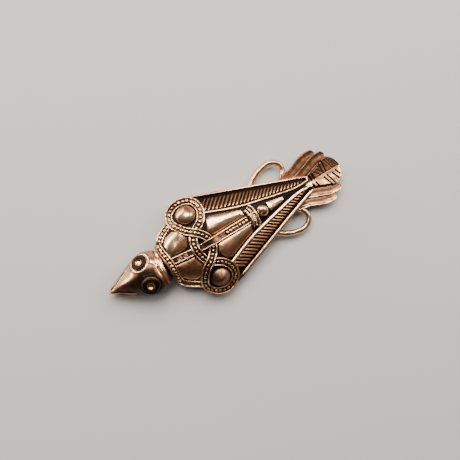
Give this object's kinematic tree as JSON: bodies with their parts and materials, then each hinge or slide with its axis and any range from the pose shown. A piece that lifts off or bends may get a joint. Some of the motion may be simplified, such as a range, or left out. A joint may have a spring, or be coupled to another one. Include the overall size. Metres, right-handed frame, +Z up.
{
  "type": "bird brooch",
  "caption": "Cast bronze brooch in the shape of a bird seen from above: beaked head with ringed eyes, knotted bands, ribbed wings, fan tail, side loops and a hinged pin behind.",
  "frame": {"origin": "middle of the footprint, on the plane of the rim that the brooch lies on", "axes": "+X towards the head, +Y towards the bird's left wing, +Z up through the bird's back"},
  "size_m": [0.075, 0.0304, 0.0106],
  "materials": {
    "antiqued_bronze": "cast tin bronze, polished on the high parts, dark brown-black patina in the recesses",
    "bronze_wire": "drawn bronze wire, lightly polished"
  },
  "bodies": {
    "casting": {"bird_casting": "antiqued_bronze", "hinge_rivet": "bronze_wire"},
    "pin": {"pin": "bronze_wire"}
  },
  "joints": [
    {"name": "pin_hinge", "type": "hinge", "parent": "casting", "child": "pin", "pos_m": [0.0125, 0, 0.0021], "axis": [0, -1, 0], "range_deg": [0, 75]}
  ]
}
